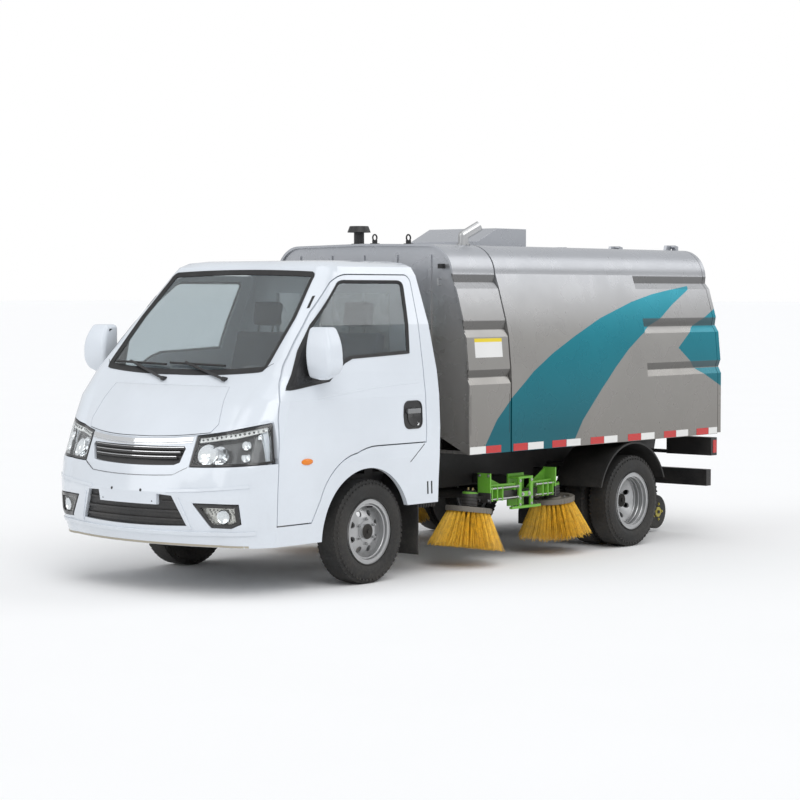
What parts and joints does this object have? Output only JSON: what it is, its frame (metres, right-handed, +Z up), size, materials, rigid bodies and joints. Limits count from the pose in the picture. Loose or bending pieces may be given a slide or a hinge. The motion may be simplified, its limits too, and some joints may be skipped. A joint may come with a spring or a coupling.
{
  "type": "street sweeper truck",
  "caption": "Small forward-control street sweeper truck with a two-seat cab, engine housing, tipping dust hopper, suction nozzle and side brushes on swinging arms",
  "frame": {"origin": "on the ground, midway along the length and the width", "axes": "front faces -Y, the truck's left side is +X, Z is up"},
  "size_m": [2.0896, 5.03, 2.2029],
  "materials": {
    "cab_paint": "glossy white paint",
    "body_paint": "satin silver-grey paint",
    "carrier_green": "satin green paint",
    "wheel_silver": "satin silver paint",
    "frame_black": "satin black paint",
    "plastic_black": "grained black plastic",
    "lamp_black": "gloss black lamp housings",
    "lamp_red": "gloss red lamp covers",
    "window_glass": "tinted glass",
    "tyre_rubber": "matte tread rubber",
    "seat_fabric": "dark blue-grey woven fabric",
    "dash_grey": "grained grey plastic",
    "axle_iron": "dark cast iron",
    "steel": "worn steel",
    "bristle": "golden yellow bristles",
    "cap_black": "matte black plastic"
  },
  "bodies": {
    "chassis": {"chassis_frame": "frame_black", "cab_shell": "cab_paint", "front_bumper": "cab_paint", "grille": "cab_paint", "grille_inserts": "plastic_black", "front_lamps": "lamp_black", "cab_glass": "window_glass", "wipers": "plastic_black", "dashboard": "dash_grey", "steering_wheel": "dash_grey", "seats": "seat_fabric", "mudguards": "plastic_black", "front_axle": "axle_iron", "rear_axle": "axle_iron", "powertrain": "axle_iron", "side_boxes": "frame_black", "power_housing": "body_paint", "aux_engine": "axle_iron", "exhaust_pipe": "steel", "intake_cap": "cap_black", "rear_underrun": "frame_black", "tail_lamps": "lamp_red", "brush_brackets": "carrier_green", "suction_pipe": "frame_black"},
    "bonnet_lid": {"bonnet": "cab_paint"},
    "left_door": {"door_left": "cab_paint", "door_glass_left": "window_glass", "mirror_left": "cab_paint"},
    "right_door": {"door_right": "cab_paint", "door_glass_right": "window_glass", "mirror_right": "cab_paint"},
    "hopper": {"hopper_shell": "body_paint", "fan_hood": "body_paint"},
    "tailgate_door": {"tailgate": "body_paint"},
    "tip_barrels": {"tip_cylinder_barrels": "frame_black"},
    "tip_rods": {"tip_cylinder_rods": "steel"},
    "nozzle": {"suction_nozzle": "frame_black"},
    "caster_wheels": {"nozzle_wheels": "tyre_rubber"},
    "left_knuckle": {"knuckle_left": "axle_iron"},
    "right_knuckle": {"knuckle_right": "axle_iron"},
    "front_left_wheel": {"tyre_front_left": "tyre_rubber", "rim_front_left": "wheel_silver"},
    "front_right_wheel": {"tyre_front_right": "tyre_rubber", "rim_front_right": "wheel_silver"},
    "rear_left_wheels": {"tyres_rear_left": "tyre_rubber", "rims_rear_left": "wheel_silver"},
    "rear_right_wheels": {"tyres_rear_right": "tyre_rubber", "rims_rear_right": "wheel_silver"},
    "front_left_arm": {"brush_arm_front_left": "carrier_green"},
    "front_left_brush": {"brush_front_left": "bristle"},
    "front_right_arm": {"brush_arm_front_right": "carrier_green"},
    "front_right_brush": {"brush_front_right": "bristle"},
    "rear_left_arm": {"brush_arm_rear_left": "carrier_green"},
    "rear_left_brush": {"brush_rear_left": "bristle"},
    "rear_right_arm": {"brush_arm_rear_right": "carrier_green"},
    "rear_right_brush": {"brush_rear_right": "bristle"}
  },
  "joints": [
    {"name": "left_steer", "type": "hinge", "parent": "chassis", "child": "left_knuckle", "pos_m": [0.615, -1.29, 0.313], "axis": [0, 0, 1], "range_deg": [-30, 30]},
    {"name": "right_steer", "type": "hinge", "parent": "chassis", "child": "right_knuckle", "pos_m": [-0.615, -1.29, 0.313], "axis": [0, 0, 1], "range_deg": [-30, 30]},
    {"name": "front_left_roll", "type": "hinge", "parent": "left_knuckle", "child": "front_left_wheel", "pos_m": [0.742, -1.29, 0.313], "axis": [1, 0, 0], "continuous": true},
    {"name": "front_right_roll", "type": "hinge", "parent": "right_knuckle", "child": "front_right_wheel", "pos_m": [-0.742, -1.29, 0.313], "axis": [1, 0, 0], "continuous": true},
    {"name": "rear_left_roll", "type": "hinge", "parent": "chassis", "child": "rear_left_wheels", "pos_m": [0.6985, 1.41, 0.313], "axis": [1, 0, 0], "continuous": true},
    {"name": "rear_right_roll", "type": "hinge", "parent": "chassis", "child": "rear_right_wheels", "pos_m": [-0.6985, 1.41, 0.313], "axis": [1, 0, 0], "continuous": true},
    {"name": "left_door_hinge", "type": "hinge", "parent": "chassis", "child": "left_door", "pos_m": [0.867, -2.1285, 1], "axis": [0, 0, -1], "range_deg": [0, 65]},
    {"name": "right_door_hinge", "type": "hinge", "parent": "chassis", "child": "right_door", "pos_m": [-0.867, -2.1285, 1], "axis": [0, 0, 1], "range_deg": [0, 65]},
    {"name": "bonnet_hinge", "type": "hinge", "parent": "chassis", "child": "bonnet_lid", "pos_m": [0, -2.157, 1.2], "axis": [-1, 0, 0], "range_deg": [0, 60]},
    {"name": "hopper_tip", "type": "hinge", "parent": "chassis", "child": "hopper", "pos_m": [0, 2.47, 0.7], "axis": [-1, 0, 0], "range_deg": [0, 45]},
    {"name": "tailgate_hinge", "type": "hinge", "parent": "hopper", "child": "tailgate_door", "pos_m": [0, 2.469, 2.076], "axis": [1, 0, 0], "range_deg": [0, 80]},
    {"name": "tip_barrel_swing", "type": "hinge", "parent": "chassis", "child": "tip_barrels", "pos_m": [0, 0.7, 0.5], "axis": [1, 0, 0], "range_deg": [0, 27]},
    {"name": "tip_rod_slide", "type": "slide", "parent": "tip_barrels", "child": "tip_rods", "axis": [0, 0.9766, 0.2149], "range_m": [0, 0.558]},
    {"name": "nozzle_lift", "type": "hinge", "parent": "chassis", "child": "nozzle", "pos_m": [0, 1.905, 0.418], "axis": [1, 0, 0], "range_deg": [-2.5, 6]},
    {"name": "caster_roll", "type": "hinge", "parent": "nozzle", "child": "caster_wheels", "pos_m": [0, 2.31, 0.147], "axis": [1, 0, 0], "continuous": true},
    {"name": "front_left_lift", "type": "hinge", "parent": "chassis", "child": "front_left_arm", "pos_m": [0.735, 0.28, 0.432], "axis": [1, 0, 0], "range_deg": [0, 11.05]},
    {"name": "front_left_spin", "type": "hinge", "parent": "front_left_arm", "child": "front_left_brush", "pos_m": [0.7, -0.185, 0.342], "axis": [0, 0.1392, 0.9903], "continuous": true},
    {"name": "front_right_lift", "type": "hinge", "parent": "chassis", "child": "front_right_arm", "pos_m": [-0.735, 0.28, 0.432], "axis": [1, 0, 0], "range_deg": [0, 11.05]},
    {"name": "front_right_spin", "type": "hinge", "parent": "front_right_arm", "child": "front_right_brush", "pos_m": [-0.7, -0.185, 0.342], "axis": [0, 0.1392, 0.9903], "continuous": true},
    {"name": "rear_left_lift", "type": "hinge", "parent": "chassis", "child": "rear_left_arm", "pos_m": [0.735, 0.35, 0.432], "axis": [-1, 0, 0], "range_deg": [0, 12.55]},
    {"name": "rear_left_spin", "type": "hinge", "parent": "rear_left_arm", "child": "rear_left_brush", "pos_m": [0.7, 0.722, 0.348], "axis": [0, -0.1045, 0.9945], "continuous": true},
    {"name": "rear_right_lift", "type": "hinge", "parent": "chassis", "child": "rear_right_arm", "pos_m": [-0.735, 0.35, 0.432], "axis": [-1, 0, 0], "range_deg": [0, 12.55]},
    {"name": "rear_right_spin", "type": "hinge", "parent": "rear_right_arm", "child": "rear_right_brush", "pos_m": [-0.7, 0.722, 0.348], "axis": [0, -0.1045, 0.9945], "continuous": true}
  ],
  "couplings": [
    {"joint": "right_steer", "follows": "left_steer", "ratio": 1},
    {"joint": "tip_barrel_swing", "follows": "hopper_tip", "ratio": 0.5942},
    {"joint": "tip_rod_slide", "follows": "hopper_tip", "m_per_rad": 0.7092}
  ]
}
